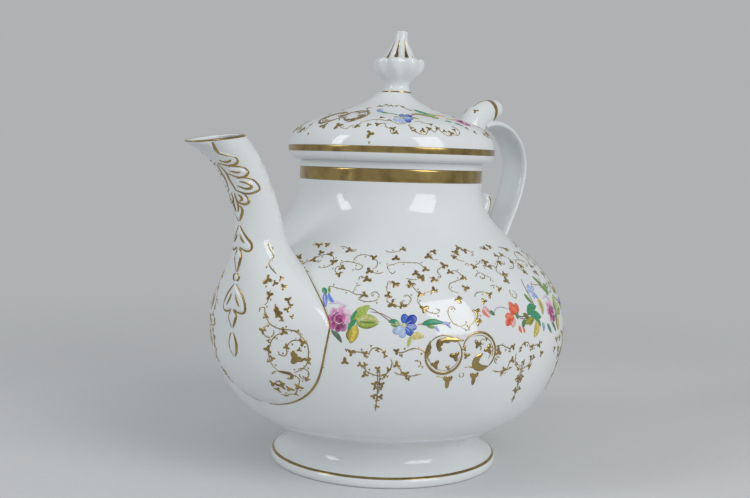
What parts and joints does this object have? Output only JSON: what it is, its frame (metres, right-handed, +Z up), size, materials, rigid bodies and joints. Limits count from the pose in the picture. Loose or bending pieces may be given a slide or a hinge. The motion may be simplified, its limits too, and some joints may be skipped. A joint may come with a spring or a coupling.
{
  "type": "teapot",
  "caption": "Round-bellied porcelain teapot on a turned foot ring, with a curved pouring spout, a broad strap handle with a thumb rest, and a lift-off domed lid with a finial knob",
  "frame": {"origin": "on the table plane, under the middle of the pot's overall length and width, spout and handle included", "axes": "+Z up along the pot's height; -X points the way the spout pours and +X towards the handle; +Y completes a right-handed frame"},
  "size_m": [0.224, 0.1688, 0.2044],
  "materials": {
    "decorated_glaze": "clear glossy glaze over cool white porcelain, with gilt and enamel decoration",
    "white_glaze": "clear glossy glaze over cool white porcelain",
    "unglazed_biscuit": "matt unglazed porcelain",
    "gilding": "burnished gilding, a little worn",
    "enamels": "painted overglaze enamel colours, satin to glossy"
  },
  "bodies": {
    "pot": {"pot_body": "decorated_glaze", "foot_ring": "white_glaze", "spout": "decorated_glaze", "handle_arm": "white_glaze", "handle_strap": "white_glaze", "handle_scroll": "white_glaze"},
    "lid_group": {"lid": "decorated_glaze", "lid_flange": "unglazed_biscuit", "knob_cup": "white_glaze", "knob_spire": "white_glaze"}
  },
  "joints": [
    {"name": "lid_lift", "type": "slide", "parent": "pot", "child": "lid_group", "axis": [0, 0, 1], "range_m": [0, 0.06]}
  ]
}
